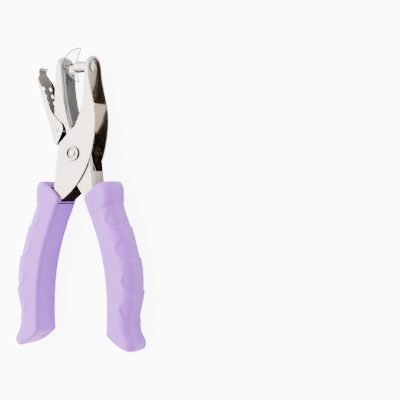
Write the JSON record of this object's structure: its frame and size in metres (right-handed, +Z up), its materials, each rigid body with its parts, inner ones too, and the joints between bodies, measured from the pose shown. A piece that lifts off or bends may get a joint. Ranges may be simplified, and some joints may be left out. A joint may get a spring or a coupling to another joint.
{
  "type": "hole punch",
  "caption": "Hand-held single hole punch: two crossed steel levers on one rivet, with a flared punch, a die, a clear stripper, a swing-out chip tray and soft grips.",
  "frame": {"origin": "middle of the footprint on the surface that the punch lies on", "axes": "+Z up out of the flat side, parallel to the pivot; +Y from the handles to the jaws; +X towards the punch jaw"},
  "size_m": [0.067, 0.147, 0.0184],
  "materials": {
    "nickel_steel": "bright nickel plate on stamped sheet steel",
    "tool_steel": "ground and hardened steel, bright",
    "spring_steel": "drawn spring wire",
    "clear_film": "clear flexible plastic film",
    "maroon_sleeve": "dark maroon moulded plastic",
    "lavender_grip": "soft matt lavender rubber, lightly textured"
  },
  "bodies": {
    "die_arm": {"die_lever": "nickel_steel", "die_plate": "nickel_steel", "die_bush": "tool_steel", "paper_stripper": "clear_film", "tray_hinge_pin": "nickel_steel", "pivot_rivet": "nickel_steel", "pivot_spacer": "tool_steel", "return_spring": "spring_steel", "die_tang_sleeve": "maroon_sleeve", "die_grip": "lavender_grip"},
    "punch_arm": {"punch_lever": "nickel_steel", "punch_pin": "tool_steel", "punch_tang_sleeve": "maroon_sleeve", "punch_grip": "lavender_grip"},
    "tray": {"chip_tray": "nickel_steel"}
  },
  "joints": [
    {"name": "squeeze", "type": "hinge", "parent": "die_arm", "child": "punch_arm", "pos_m": [0, 0.0213, 0.0092], "axis": [0, 0, 1], "range_deg": [0, 6.2], "stiffness_Nm_per_rad": 3, "springref_deg": -6.88, "deforming": ["return_spring"]},
    {"name": "tray_swing", "type": "hinge", "parent": "die_arm", "child": "tray", "pos_m": [-0.0096, 0.03285, 0.0092], "axis": [0, 0, 1], "range_deg": [-20, 0]}
  ]
}
